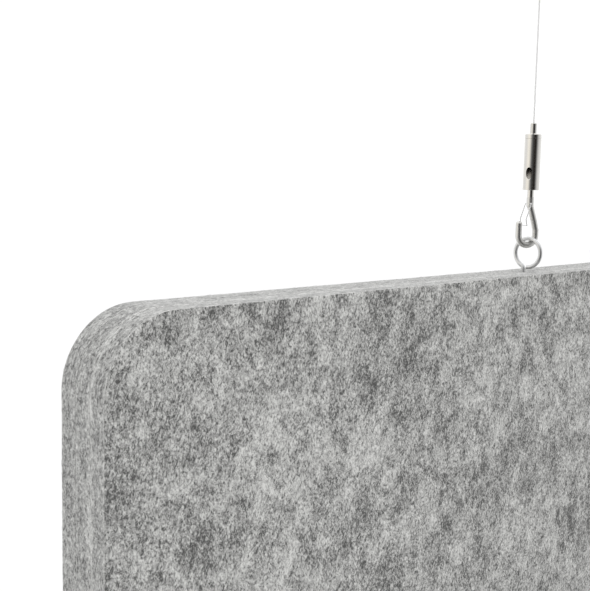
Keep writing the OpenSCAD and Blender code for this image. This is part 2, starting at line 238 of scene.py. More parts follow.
# %% Helper for Geometry Nodes
class Recipe(Bench):
    """A geometry tree with named inputs that can be baked to a plain mesh."""

    def __init__(self, name, sizes):
        super().__init__(bpy.data.node_groups.new(name, "GeometryNodeTree"))
        self.sizes = {}
        self.add_socket("Geometry", "INPUT", "Geometry")
        for size, kind in sizes.items():
            self.sizes[size] = self.add_socket(size, "INPUT", kind).identifier
        self.add_socket("Geometry", "OUTPUT", "Geometry")
        self.group = self.node("NodeGroupInput")

    def add_socket(self, name, side, kind):
        return self.tree.interface.new_socket(name, in_out=side, socket_type=f"NodeSocket{kind}")

    def size(self, name):
        return self.group.output(name)

    def tube(self, curve, radius, sides):
        """A closed round tube along a curve."""
        section = self.node("GeometryNodeCurvePrimitiveCircle", {}, {"Resolution": sides, "Radius": radius})
        return self.node(
            "GeometryNodeCurveToMesh", {}, {"Curve": curve, "Profile Curve": section, "Fill Caps": True})

    def smoothed(self, geometry):
        return self.node("GeometryNodeSetShadeSmooth", {}, {0: geometry})

    def finish(self, geometry, material):
        real = self.node("GeometryNodeRealizeInstances", {}, {"Geometry": geometry})
        dressed = self.node("GeometryNodeSetMaterial", {}, {"Geometry": real, "Material": material})
        self.node("NodeGroupOutput", {}, {"Geometry": dressed})

    def bake(self, name, sizes, mesh=None):
        """A new object with the tree's result, made from a mesh or from nothing."""
        helper = bpy.data.objects.new("helper", mesh or bpy.data.meshes.new("helper"))
        scene.collection.objects.link(helper)
        modifier = helper.modifiers.new(self.tree.name, "NODES")
        modifier.node_group = self.tree
        for size, value in sizes.items():
            modifier[self.sizes[size]] = value
        evaluated = helper.evaluated_get(bpy.context.evaluated_depsgraph_get())
        piece = add_piece(name, bpy.data.meshes.new_from_object(evaluated))
        bpy.data.objects.remove(helper)
        print(name, len(piece.data.polygons), "faces")
        return piece


print("helper for Geometry Nodes is ready")

# %% [markdown]
# Metal gets nearly all its looks from what it mirrors, so its own nodes stay few.
# A real plated part isn't a perfect mirror: polish marks run round a turned part, and handling leaves
# soft patches. A fine noise stretched round the part gives the first, a large soft one the second.
# A bored part gets rougher close to the wire, and its colour there is darkened, which is painted shade in the
# bore.

# %% Metal finishes
POLISH_SCALE = 900.0
PATCH_SCALE = 180.0
PATCH_SHARE = 0.6
WORN_SHARE = 0.86
POLISH_RELIEF = 0.02
POLISH_DEPTH = 0.0004
HANG_X = 0.3
# Deep in a bore the colour is darkened, which is painted shade.
BORE_SHADE_TONE = (0.36, 0.34, 0.31)
BORED_ROUGHNESS = 0.35
BORED_FADE = 0.0003


def new_material(name, fixed):
    """A material with the shader's fixed values, the bench to build on and the shader."""
    material = bpy.data.materials.new(name)
    material.use_nodes = True
    shader = material.node_tree.nodes["Principled BSDF"]
    for socket, value in fixed.items():
        shader.inputs[socket].default_value = value
    return material, Bench(material.node_tree), shader


def feed(bench, shader, inputs):
    """Links values to the shader's sockets."""
    for name, value in inputs.items():
        bench.tree.links.new(value.socket, shader.inputs[name])


def bored(bench, place, dull_and_shaded_within):
    """1 inside a bored part, where shade is painted and the metal is rougher, and 0 on its outside."""
    aside = bench.part(place, 0).maths("ABSOLUTE") - HANG_X
    y = bench.part(place, 1)
    from_wire = (aside * aside + y * y).maths("SQRT")
    return ((dull_and_shaded_within - from_wire) / BORED_FADE).clamped()


def plated_metal(name, tone, roughness, marks, drawn=(1, 1, 1), metallic=1.0, dull_and_shaded_within=0.0):
    """Plated or drawn metal, with polish marks along or round it and soft patches. Close to the wire,
    within the given radius, a bored part is rougher and its colour is darkened as painted shade."""
    material, bench, shader = new_material(name, {"Metallic": metallic})
    place = bench.object_place()
    fine = bench.noise_at(bench.vector_maths("MULTIPLY", place, drawn), POLISH_SCALE, detail=3.0)
    patches = bench.noise_at(place, PATCH_SCALE, detail=2.0)
    dull = patches * PATCH_SHARE + fine * (1 - PATCH_SHARE)
    tint = bench.blend(dull, [x * WORN_SHARE for x in tone], tone)
    rough = roughness - marks / 2 + marks * dull
    if dull_and_shaded_within:
        inside = bored(bench, place, dull_and_shaded_within)
        # Close to the wire the colour is darkened as painted shade in the bore, and the metal gets rougher.
        tint = bench.blend(inside, tint, BORE_SHADE_TONE)
        rough = rough + inside * BORED_ROUGHNESS
    bump = bench.bump(fine, POLISH_RELIEF, POLISH_DEPTH)
    feed(bench, shader, {"Base Color": tint, "Roughness": rough, "Normal": bump})
    return material


NICKEL = (0.80, 0.785, 0.755)
# Within this distance of the wire, the housing's bore is rougher and painted in shade.
HOUSING_DULL_AND_SHADED_WITHIN = 0.0047
ROUND_MARKS = (1, 1, 8)
FINISHES = {
    "bright_nickel": plated_metal(
        "bright_nickel", NICKEL, roughness=0.12, marks=0.05, drawn=ROUND_MARKS),
    "gripper_housing": plated_metal(
        "housing_nickel", NICKEL, roughness=0.12, marks=0.05, drawn=ROUND_MARKS,
        dull_and_shaded_within=HOUSING_DULL_AND_SHADED_WITHIN),
    "hook_nickel": plated_metal(
        "hook_nickel", (0.78, 0.775, 0.755), roughness=0.38, marks=0.1),
    "zinc_plated_steel": plated_metal(
        "zinc_plated_steel", (0.76, 0.765, 0.77), roughness=0.4, marks=0.12),
    "spring_steel": plated_metal(
        "spring_steel", (0.92, 0.925, 0.93), roughness=0.5, marks=0.08),
    "plunger_steel": plated_metal(
        "plunger_steel", (0.72, 0.71, 0.69), roughness=0.18, marks=0.08, drawn=(1, 1, 6)),
    "wire_steel": plated_metal(
        "wire_steel", (0.96, 0.96, 0.96), roughness=0.6, marks=0.1, metallic=0.5),
}
print("metals", sorted(FINISHES))

# %% [markdown]
# Two materials never show from outside, the nylon of the anchor blocks and the adhesive web between
# the plies. They still get a real finish, because the model can be taken apart.

# %% Plastic finishes
CLOUDED_SHARE = 0.9
CLOUDS_PER_GRAIN = 1 / 8
PLASTIC_RELIEF = 0.15
PLASTIC_DEPTH = 0.0003
PLASTIC_MARKS = 0.1


def dull_plastic(name, tone, roughness, grain):
    """Plastic with a faint cloudiness and a fine matt grain."""
    material, bench, shader = new_material(name, {})
    place = bench.object_place()
    cloud = bench.noise_at(place, grain * CLOUDS_PER_GRAIN, detail=2.0)
    speckle = bench.noise_at(place, grain, detail=3.0)
    feed(bench, shader, {
        "Base Color": bench.blend(cloud, [x * CLOUDED_SHARE for x in tone], tone),
        "Roughness": roughness + PLASTIC_MARKS * speckle,
        "Normal": bench.bump(speckle, PLASTIC_RELIEF, PLASTIC_DEPTH)})
    return material


FINISHES["nylon"] = dull_plastic("nylon", (0.72, 0.70, 0.64), roughness=0.5, grain=900.0)
FINISHES["bond_film"] = dull_plastic("bond_film", (0.62, 0.62, 0.60), roughness=0.6, grain=400.0)
print("plastics", "nylon", "bond_film")

# %% [markdown]
# Every CAD node keeps its shape. Its material slot in the record says which finish it takes, unless
# the part has a finish of its own, as the bored gripper housing does.

# %% Dress the CAD nodes
slots = {part["node"]: part["material_slot"] for part in frame["record"]["subparts"]}
for node_name, node_object in frame["nodes"].items():
    own = node_name.partition("_")[2]
    finish = own if own in FINISHES else slots[node_name]
    if finish in FINISHES:
        node_object.data.materials.clear()
        node_object.data.materials.append(FINISHES[finish])
print("dressed", len(frame["nodes"]), "CAD nodes")

# %% [markdown]
# The suspension wire is a strand: six steel wires laid round a seventh.
# A texture could fake the lay, but seven real strands catch the light properly and cost little.
# Each strand is the same straight line, pushed sideways by an angle that grows along it, which is a
# helix. Geometry Nodes does this on a curve, and Curve to Mesh gives it its round section.
# When the panel is raised, less wire is left above the gripper; here the strand has one fixed length.

# %% Lay the suspension wires
WIRE_D = 0.001
WIRE_TOP_Z = -0.0139716
WIRE_FOOT_Z = -0.1218
WIRE_LAY = 0.0095
WIRE_STEPS = 130
STRANDS_ROUND = 6
STRANDS_ACROSS = 3
STRAND_SIDES = 7
SIDES = {"left": -HANG_X, "right": HANG_X}

strand = Recipe("strand_wire", {
    "Top": "Vector", "Foot": "Vector", "Wire radius": "Float", "Lay": "Float", "Steps": "Int"})
strand_radius = strand.size("Wire radius") / STRANDS_ACROSS
line = strand.node(
    "GeometryNodeCurvePrimitiveLine", {}, {"Start": strand.size("Top"), "End": strand.size("Foot")})
line = strand.node("GeometryNodeResampleCurve", {}, {"Curve": line, "Count": strand.size("Steps")})
copies = strand.node(
    "GeometryNodeDuplicateElements", {"domain": "SPLINE"}, {"Geometry": line, "Amount": STRANDS_ROUND})
height = strand.part(strand.node("GeometryNodeInputPosition"), 2)
step_round = math.tau / STRANDS_ROUND
angle = copies.output("Duplicate Index") * step_round + height * math.tau / strand.size("Lay")
aside = strand.vector(
    angle.maths("COSINE") * strand_radius * 2, angle.maths("SINE") * strand_radius * 2)
outer = strand.node("GeometryNodeSetPosition", {}, {"Geometry": copies, "Offset": aside})
all_strands = strand.node("GeometryNodeJoinGeometry", {}, {"Geometry": [outer, line]})
strand.finish(
    strand.smoothed(strand.tube(all_strands, strand_radius, STRAND_SIDES)), FINISHES["wire_steel"])

for side, x in SIDES.items():
    top = (x, 0.0, WIRE_TOP_Z)
    foot = (x, 0.0, WIRE_FOOT_Z)
    wire = strand.bake(f"{side}_wire_strand", {
        "Top": top, "Foot": foot, "Wire radius": WIRE_D / 2, "Lay": WIRE_LAY, "Steps": WIRE_STEPS})
    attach(wire, f"{side}_line")
    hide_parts(f"{side}_wire")
    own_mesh(wire)

# %% [markdown]
# Inside each gripper a spring pushes the release plunger up, and it shortens when the plunger is pressed.
# Here it is one coil of fixed length, standing on the floor of its chamber.
# Geometry Nodes has a spiral curve, and a spiral that keeps its radius is a coil spring.

# %% Wind the release springs
SPRING_R = 0.00245
SPRING_WIRE_R = 0.00025
SPRING_FLOOR_Z = -0.1203
SPRING_LENGTH = 0.0072
SPRING_SLACK = 0.00003
SPRING_TURNS = 5.0
SPRING_STEPS_PER_TURN = 20
SPRING_SIDES = 10

coil = Recipe("release_spring", {
    "Floor": "Vector", "Radius": "Float", "Wire radius": "Float", "Length": "Float"})
spiral = coil.node("GeometryNodeCurveSpiral", {}, {
    "Resolution": SPRING_STEPS_PER_TURN, "Rotations": SPRING_TURNS,
    "Start Radius": coil.size("Radius"), "End Radius": coil.size("Radius"),
    "Height": coil.size("Length") - coil.size("Wire radius") * 2})
wound = coil.tube(spiral, coil.size("Wire radius"), SPRING_SIDES)
lift = coil.vector(z=coil.size("Wire radius"))
seat = coil.vector_maths("ADD", coil.size("Floor"), lift)
seated = coil.node("GeometryNodeTransform", {}, {"Geometry": wound, "Translation": seat})
coil.finish(coil.smoothed(seated), FINISHES["spring_steel"])

for side, x in SIDES.items():
    floor_at = (x, 0.0, SPRING_FLOOR_Z)
    spring = coil.bake(f"{side}_release_spring", {
        "Floor": floor_at, "Radius": SPRING_R, "Wire radius": SPRING_WIRE_R,
        "Length": SPRING_LENGTH - SPRING_SLACK})
    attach(spring, f"{side}_gripper")
    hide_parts(f"{side}_plunger_spring")
    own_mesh(spring)

# %% [markdown]
# The felt is pressed from short grey and white fibres, so its face is a cloud of light and dark clumps.
# Three layers of noise make it: clouds of a few centimetres, clumps from a centimetre down and a hard
# grain from a millimetre down, the last two a little longer up and down than across. Thin curved lines,
# which are the places where a noise crosses its middle value, read as single fibres. A noise whose
# finer octaves are as strong as its coarse ones looks gritty like felt, and not soft like smoke.

# %% Felt face finish
FELT_DARK = (0.085, 0.085, 0.083)
FELT_LIGHT = (0.60, 0.60, 0.585)
FELT_RELIEF = 0.6
FELT_DEPTH = 0.0006
FACE_GREY = 0.45
FACE_CLOUDS = {"scale": 22.0, "detail": 1.0, "weight": 0.4}
FACE_CLUMPS = {"scale": 85.0, "detail": 2.0, "roughness": 0.9, "distortion": 0.3, "weight": 1.4}
FACE_GRAIN = {"scale": 850.0, "detail": 2.0, "roughness": 1.0, "weight": 2.2}
FACE_DRAWN = (1, 1, 0.82)
RELIEF_CLUMPS = {"scale": 150.0, "detail": 2.0, "roughness": 0.8}
RELIEF_GRAIN = {"scale": 800.0, "detail": 3.0, "roughness": 0.8, "weight": 0.6}
RELIEF_DRAWN = (1, 1, 0.72)
PALE_FIBRES = {"scale": 520.0, "turn": 0.5}
DARK_FIBRES = {"scale": 460.0, "turn": -0.4}
FIBRE_BENDS = {"detail": 1.5, "distortion": 0.6}
FIBRE_DRAWN = (1, 1, 0.4)
FIBRE_WIDTH = 0.05
FIBRE_WEIGHT = 0.34


def layer(bench, place, scale, detail, roughness=0.5, distortion=0.0, weight=1.0):
    """One layer of noise, centred on nought. Its scale is in waves a metre."""
    return (bench.noise_at(place, scale, detail, roughness, distortion) - 0.5) * weight


def stretched(bench, place, by, turn=0.0):
    """The place turned about Y and drawn out, so that a pattern on it has a direction."""
    turned = bench.node(
        "ShaderNodeVectorRotate", {"rotation_type": "Y_AXIS"}, {"Vector": place, "Angle": turn})
    return bench.vector_maths("MULTIPLY", turned, by)


def fibres(bench, place, scale, turn):
    """Thin curved lines, at their weight on a line and 0 between them."""
    drawn = stretched(bench, place, FIBRE_DRAWN, turn)
    crossing = layer(bench, drawn, scale, **FIBRE_BENDS).maths("ABSOLUTE")
    return (1 - crossing / FIBRE_WIDTH).maths("MAXIMUM", 0.0) * FIBRE_WEIGHT


def felt_shader(name, tone, height, sheen):
    """The shader that the felt finishes share: a grey from dark to light, and a fibrous relief."""
    material, bench, shader = new_material(name, {
        "Roughness": 0.95, "Specular IOR Level": 0.1, "Sheen Weight": sheen, "Sheen Roughness": 0.4})
    tint = bench.blend(tone(bench).clamped(), FELT_DARK, FELT_LIGHT)
    bump = bench.bump(height(bench), FELT_RELIEF, FELT_DEPTH)
    feed(bench, shader, {"Base Color": tint, "Normal": bump})
    return material


def face_tone(bench):
    place = bench.object_place()
    drawn = stretched(bench, place, FACE_DRAWN)
    mottle = (
        FACE_GREY + layer(bench, place, **FACE_CLOUDS) + layer(bench, drawn, **FACE_CLUMPS)
        + layer(bench, drawn, **FACE_GRAIN))
    return mottle + fibres(bench, place, **PALE_FIBRES) - fibres(bench, place, **DARK_FIBRES)


def face_height(bench):
    drawn = stretched(bench, bench.object_place(), RELIEF_DRAWN)
    return layer(bench, drawn, **RELIEF_CLUMPS) + layer(bench, drawn, **RELIEF_GRAIN)


felt_face = felt_shader("felt_face", face_tone, face_height, sheen=0.08)
felt_bonded = felt_shader("felt_bonded", face_tone, face_height, sheen=0.0)
print("felt finishes", felt_face.name, felt_bonded.name)

# %% [markdown]
# The cut edge shows the plies from the side, so its streaks run along the edge and not up and down.
# Object coordinates can't bend round the corners. The edge therefore has its own map: U is the way
# round the outline in metres and V the place through the thickness, and the streaks are drawn out
# along U. Beside each seam the blade has pulled fibres loose, which reads as a paler, woollier band.
# Along the arris, the sharp line where the edge meets an outer face, the grey is also lightened in a
# woolly band, which is a painted highlight where the rounded edge catches the light.
# The loose ends also catch the light where the eye meets the edge at a low angle, which is sheen.

# %% Felt edge finish
PLY_T = 0.0099
HALF_T = 0.015
EDGE_GREY = 0.42
EDGE_STREAKS = {"scale": 600.0, "detail": 2.0, "distortion": 0.3}
EDGE_CLOUDS = {"scale": 130.0, "detail": 2.0, "roughness": 0.8, "weight": 0.9}
EDGE_WOOL = {"scale": 400.0, "detail": 2.0, "roughness": 0.8, "weight": 2.5}
EDGE_GRIT = {"scale": 1500.0, "detail": 2.0, "weight": 0.5}
STREAKS_DRAWN = 0.75
CLOUDS_DRAWN = 0.7
WOOL_DRAWN = 0.5
WOOL_SHARE = 0.55
SEAM_Y = PLY_T / 2
SEAM_REACH = 0.0026
FRONT_SEAM = 0.55
REAR_SEAM = 0.05
# How wide and how strong the painted highlight along the arris is.
ARRIS_HIGHLIGHT_REACH = 0.0013
ARRIS_HIGHLIGHT = 0.5


def edge_place(bench, along=1.0):
    """The place on the edge's own map, drawn out along the edge where along is below 1."""
    return bench.vector_maths("MULTIPLY", bench.node("ShaderNodeUVMap", {"uv_map": "lay"}), (along, 1, 0))


def near_line(through, line_y, reach):
    """1 on a line along the edge, and 0 at its reach and beyond."""
    return (1 - (through - line_y).maths("ABSOLUTE") / reach).clamped()


def edge_tone(bench):
    streaks = layer(bench, edge_place(bench, STREAKS_DRAWN), roughness=1.0, weight=2.4, **EDGE_STREAKS)
    clouds = layer(bench, edge_place(bench, CLOUDS_DRAWN), **EDGE_CLOUDS)
    through = bench.part(edge_place(bench), 1)
    wool = (WOOL_SHARE + layer(bench, edge_place(bench, WOOL_DRAWN), **EDGE_WOOL)).clamped()
    seams = (
        near_line(through, -SEAM_Y, SEAM_REACH) * FRONT_SEAM
        + near_line(through, SEAM_Y, SEAM_REACH) * REAR_SEAM)
    # Along the arris the grey is lightened, which is a painted highlight where the rounded edge catches the
    # light.
    arris = near_line(through.maths("ABSOLUTE"), HALF_T, ARRIS_HIGHLIGHT_REACH) * ARRIS_HIGHLIGHT
    return EDGE_GREY + streaks + clouds + (seams + arris) * wool


def edge_height(bench):
    streaks = layer(bench, edge_place(bench, STREAKS_DRAWN), roughness=0.9, **EDGE_STREAKS)
    return streaks + layer(bench, edge_place(bench, CLOUDS_DRAWN), **EDGE_GRIT)


felt_edge = felt_shader("felt_edge", edge_tone, edge_height, sheen=0.5)
print("felt finishes", felt_edge.name)

# %% [markdown]
# A ply is a sheet with rounded corners, a crisp cut edge and a surface that is never quite flat.
# A grid is laid over the whole rectangle, and each corner square of it is bent into a quarter disc.
# That keeps every face four-sided, and the outline's points fall on a true arc. The grid is finer
# round the two screw eyes, because the felt puckers there.

# %% The ply's outline and grid
PANEL_W = 1.2
PANEL_H = 0.6
CORNER_R = 0.033
PANEL_TOP_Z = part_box("front_felt_ply")[1].z
PANEL_MID_Z = PANEL_TOP_Z - PANEL_H / 2
GRID_STEP = 0.0045
CORNER_CELLS = 12
CLOSE_REACH = 0.007
CLOSE_STEP = 0.001
CLOSE_STEPS = 6
STRAIGHT_WITHIN = 1e-7


def grid_lines(half, corner, close_to=()):
    """Where the grid's lines cross one axis, finer round the given places."""
    corner_lines = [half - corner + corner * i / CORNER_CELLS for i in range(1, CORNER_CELLS + 1)]
    count = round((2 * half - 2 * corner) / GRID_STEP)
    lines = [-half + corner + (2 * half - 2 * corner) * i / count for i in range(count + 1)]
    for place in close_to:
        lines = [x for x in lines if abs(x - place) > CLOSE_REACH]
        lines += [place + CLOSE_STEP * i for i in range(-CLOSE_STEPS, CLOSE_STEPS + 1)]
    return sorted([-x for x in corner_lines] + lines + corner_lines)


class Outline:
    """A rectangle with round corners, seen from the front, and the grid that fills it."""

    def __init__(self, inset):
        self.half_w = PANEL_W / 2 - inset
        self.half_h = PANEL_H / 2 - inset
        self.corner = CORNER_R - inset
        self.xs = grid_lines(self.half_w, self.corner, SIDES.values())
        self.zs = grid_lines(self.half_h, self.corner)
        self.last_x = len(self.xs) - 1
        self.last_z = len(self.zs) - 1

    def into_corner(self, x, z):
        """How far a point lies inside a corner square, both ways; below nought is outside it."""
        return abs(x) - self.half_w + self.corner, abs(z) - self.half_h + self.corner

    def bent(self, x, z):
        """A grid point, bent into the quarter disc if it lies in a corner square."""
        a, b = self.into_corner(x, z)
        if min(a, b) <= 0:
            return x, z
        turn = math.pi / 4 * b / a if a >= b else math.pi / 2 - math.pi / 4 * a / b
        reach = max(a, b)
        return (
            math.copysign(self.half_w - self.corner + reach * math.cos(turn), x),
            math.copysign(self.half_h - self.corner + reach * math.sin(turn), z))

    def outward(self, x, z):
        """The outward direction at one of the outline's points."""
        a, b = self.into_corner(x, z)
        if min(a, b) <= STRAIGHT_WITHIN:
            return (math.copysign(1, x), 0) if a > b else (0, math.copysign(1, z))
        length = math.hypot(a, b)
        return math.copysign(a, x) / length, math.copysign(b, z) / length

    def rim(self):
        """The grid's outermost places, in order round the ply."""
        last_x, last_z = self.last_x, self.last_z
        ring = [(i, 0) for i in range(last_x)] + [(last_x, j) for j in range(last_z)]
        ring += [(i, last_z) for i in range(last_x, 0, -1)] + [(0, j) for j in range(last_z, 0, -1)]
        return ring


print("panel's middle", round(PANEL_MID_Z, 4))

# %% [markdown]
# The surface is pushed in and out by a few tenths of a millimetre, which gives soft light its hold.
# The faces get broad low waves, and the edge gets fine ridges along the outline. Two waves of noise
# are enough for each, and a ply's seed moves it to another part of the noise.

# %% Relief of the felt
FACE_WAVES = ((0.00016, 26, 0), (0.00011, 110, 7))
EDGE_WAVES = ((0.00010, 60, 900, 0), (0.00012, 22, 120, 3))
FACE_FADE = 0.012
PUCKER_DEPTH = 0.0007
PUCKER_REACH = 0.0026
EYE_Y = 0.0027


def face_relief(x, z, seed):
    """How far a face stands out, from waves that have a height, a number a metre and a shift."""
    return sum(
        height * noise.noise(Vector((x * scale, seed + shift, z * scale)))
        for height, scale, shift in FACE_WAVES)


def edge_relief(along, y, seed):
    """The same for the cut edge, whose waves are longer along it than through it."""
    return sum(
        height * noise.noise(Vector((along * lengthwise, y * through, seed + shift)))
        for height, lengthwise, through, shift in EDGE_WAVES)


def pucker(x, y):
    """The felt is drawn down a little where a screw eye goes in."""
    away = min(math.hypot(x - hanger, y - EYE_Y) for hanger in SIDES.values())
    return -PUCKER_DEPTH * math.exp(-((away / PUCKER_REACH) ** 2))


print("pucker at an eye", pucker(HANG_X, EYE_Y))

# %% [markdown]
# The edge is a few rows of faces that follow the outline, with a small rounding where the blade
# turned the fibres. It is smaller at a seam, where the next ply holds the fibres back.

# %% Rows of the cut edge
CUT_ROUND = 0.0005
SEAM_ROUND = 0.00025
ROUND_STEPS = 3
EDGE_STEPS = 9


def edge_profile(y_front, y_rear, round_front, round_rear):
    """Rows down the edge, from the front to the rear: how far out, and the place through the ply."""
    inset = max(round_front, round_rear)
    turns = [math.pi / 2 * i / ROUND_STEPS for i in range(ROUND_STEPS + 1)]
    front = [
        (inset - round_front + round_front * math.sin(t), y_front + round_front * (1 - math.cos(t)))
        for t in turns]
    rear = [
        (inset - round_rear + round_rear * math.sin(t), y_rear - round_rear * (1 - math.cos(t)))
        for t in reversed(turns)]
    low, high = front[-1][1], rear[0][1]
    middle = [(inset, low + (high - low) * i / EDGE_STEPS) for i in range(1, EDGE_STEPS)]
    return front + middle + rear


print("rows on an edge", len(edge_profile(-PLY_T / 2, PLY_T / 2, SEAM_ROUND, SEAM_ROUND)))

# %% [markdown]
# A ply is a closed body: the first and last rows of its edge are also the rims of its two faces.
# BMesh builds it, because the rows and the grid need the same vertices. An outer face is the grid with
# its relief. A face against another ply doesn't show, so it is one flat face. The first rows of an
# outer rounding still look like the face, because its fibres run over the arris.

# %% Build one ply
FACE = 0
EDGE = 1
BONDED = 2
TURNED_ROWS = 2
TOP_FACING = 0.99


class FeltPly:
    """A closed ply: an outer face is a relief grid, and a face against another ply is plain."""

    def __init__(self, y_front, y_rear, face_front, face_rear, seed):
        self.seed = seed
        round_front = CUT_ROUND if face_front else SEAM_ROUND
        round_rear = CUT_ROUND if face_rear else SEAM_ROUND
        self.outline = Outline(max(round_front, round_rear))
        self.profile = edge_profile(y_front, y_rear, round_front, round_rear)
        self.work = bmesh.new()
        self.uv = self.work.loops.layers.uv.new("lay")
        self.along = self.work.verts.layers.float_vector.new("along")
        self.add_rows()
        self.add_edge(face_front, face_rear)
        self.add_side(self.rows[0], y_front, face_front, -1)
        self.add_side(self.rows[-1], y_rear, face_rear, 1)

    def add_vert(self, place, along):
        """A vertex, with the direction in which the fibres lie there."""
        vert = self.work.verts.new(place)
        vert[self.along] = along
        return vert

    def add_face(self, verts, material, uvs):
        face = self.work.faces.new(verts)
        face.material_index = material
        face.smooth = True
        for loop, place in zip(face.loops, uvs):
            loop[self.uv].uv = place

    def add_rows(self):
        """The edge's vertices, row by row, and the way round to each."""
        shape = self.outline
        points = [shape.bent(shape.xs[i], shape.zs[j]) for i, j in shape.rim()]
        self.lengths = [0.0]
        for i, (x, z) in enumerate(points):
            after = points[(i + 1) % len(points)]
            self.lengths.append(self.lengths[-1] + math.hypot(after[0] - x, after[1] - z))
        self.rows = []
        for depth, (reach, y) in enumerate(self.profile):
            row = []
            for i, (x, z) in enumerate(points):
                nx, nz = shape.outward(x, z)
                push = reach
                if 0 < depth < len(self.profile) - 1:
                    push += edge_relief(self.lengths[i], y, self.seed)
                    if nz > TOP_FACING:
                        push += pucker(x, y)
                place = (x + nx * push, y, z + nz * push + PANEL_MID_Z)
                row.append(self.add_vert(place, (nz, 0, -nx)))
            self.rows.append(row)

    def add_edge(self, face_front, face_rear):
        """The edge's faces, each mapped by the way round and the place through the ply."""
        last = len(self.rows) - 1
        for depth in range(last):
            turned_front = face_front and depth < TURNED_ROWS
            turned_rear = face_rear and depth >= last - TURNED_ROWS
            material = FACE if turned_front or turned_rear else EDGE
            near, far = self.profile[depth][1], self.profile[depth + 1][1]
            row, row_after = self.rows[depth], self.rows[depth + 1]
            for i, (here, there) in enumerate(zip(self.lengths, self.lengths[1:])):
                j = (i + 1) % len(row)
                self.add_face(
                    (row[j], row[i], row_after[i], row_after[j]), material,
                    ((there, near), (here, near), (here, far), (there, far)))

    def add_side(self, row, y, is_outer, facing):
        """The front if facing is -1, or the rear if it is 1."""
        if not is_outer:
            loop = row if facing < 0 else row[::-1]
            self.add_face(loop, BONDED, [(v.co.x, v.co.z) for v in loop])
            return
        shape = self.outline
        grid = dict(zip(shape.rim(), row))
        for i, x in enumerate(shape.xs):
            for j, z in enumerate(shape.zs):
                if (i, j) in grid:
                    continue
                px, pz = shape.bent(x, z)
                share = min(1.0, min(shape.half_w - abs(x), shape.half_h - abs(z)) / FACE_FADE)
                out = facing * face_relief(px, pz, self.seed) * share
                grid[i, j] = self.add_vert((px, y + out, pz + PANEL_MID_Z), (0, 0, 1))
        for i in range(shape.last_x):
            for j in range(shape.last_z):
                corners = [grid[i, j], grid[i + 1, j], grid[i + 1, j + 1], grid[i, j + 1]]
                if facing > 0:
                    corners.reverse()
                self.add_face(corners, FACE, [(v.co.x, v.co.z) for v in corners])

    def finish(self, name):
        mesh = bpy.data.meshes.new(name)
        self.work.to_mesh(mesh)
        self.work.free()
        for material in (felt_face, felt_edge, felt_bonded):
            mesh.materials.append(material)
        return add_piece(name, mesh)


print("a ply's materials", felt_face.name, felt_edge.name, felt_bonded.name)

# %% [markdown]
# Three plies of 10 mm felt make the panel. Each is a hair thinner than that in the CAD model, to leave
# room for the adhesive web. Only the front and the rear ply have an outer face. The table gives where
# a ply starts and ends in Y, whether its front and its rear are outer faces, and its seed.

# %% Make the three plies
PLIES = {
    "front": (-HALF_T, -HALF_T + PLY_T, True, False, 1.0),
    "core": (-PLY_T / 2, PLY_T / 2, False, False, 12.0),
    "rear": (HALF_T - PLY_T, HALF_T, False, True, 23.0),
}
plies = {}
for name, choices in PLIES.items():
    ply = FeltPly(*choices).finish(f"{name}_felt_board")
    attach(ply, "panel")
    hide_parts(f"{name}_felt_ply")
    plies[name] = ply
    print(ply.name, len(ply.data.polygons), "faces")

# %% [markdown]
# Loose fibres stand off real felt, thickest on the cut edge. Each is a bent thread of a few faces, and
# Geometry Nodes scatters thousands of them: points on the faces of one material, a thread on each,
# turned to lie along the surface and then spun and sized at random from a fixed seed.

# %% Loose fibre finish
FIBRE_DARK = (0.20, 0.20, 0.20)
FIBRE_LIGHT = (0.72, 0.72, 0.70)
FIBRE_GREY = 0.55
FIBRE_CLOUDS = {"scale": 300.0, "detail": 1.0, "weight": 3.0}

fibre_material, fibre_bench, fibre_shader = new_material(
    "felt_fibre", {"Roughness": 0.8, "Specular IOR Level": 0.2})
fibre_tone = FIBRE_GREY + layer(fibre_bench, fibre_bench.object_place(), **FIBRE_CLOUDS)
feed(fibre_bench, fibre_shader, {
    "Base Color": fibre_bench.blend(fibre_tone.clamped(), FIBRE_DARK, FIBRE_LIGHT)})
print("felt finishes", fibre_material.name)

# %% [markdown]
# The thread is a short curve with three points: its root lies just under the surface, its middle bows
# aside and up, and its tip stands a little off. All three are shares of the thread's length and lift.

# %% Scatter loose fibres
THREAD_STEPS = 3
THREAD_SIDES = 3
ROOT_SINKS = 0.5
TIP_LIFTS = 0.4
MIDDLE_BOWS = 0.7
TIP_BOWS = 0.2
SMALLEST = (0.4, 0.3, 0.3)
LARGEST = (1.3, 1.6, 1.3)

fuzz = Recipe("loose_fibres", {
    "On": "Material", "Per square metre": "Float", "Length": "Float", "Thickness": "Float",
    "Lift": "Float", "Spread": "Float", "Seed": "Int"})
half_length = fuzz.size("Length") / 2
root = fuzz.vector(x=0 - half_length, z=0 - fuzz.size("Lift") * ROOT_SINKS)
bow = fuzz.vector(y=half_length * MIDDLE_BOWS, z=fuzz.size("Lift"))
tip = fuzz.vector(half_length, 0 - half_length * TIP_BOWS, fuzz.size("Lift") * TIP_LIFTS)
thread = fuzz.node("GeometryNodeCurveQuadraticBezier", {}, {
    "Start": root, "Middle": bow, "End": tip, "Resolution": THREAD_STEPS})
thread = fuzz.tube(thread, fuzz.size("Thickness") / 2, THREAD_SIDES)

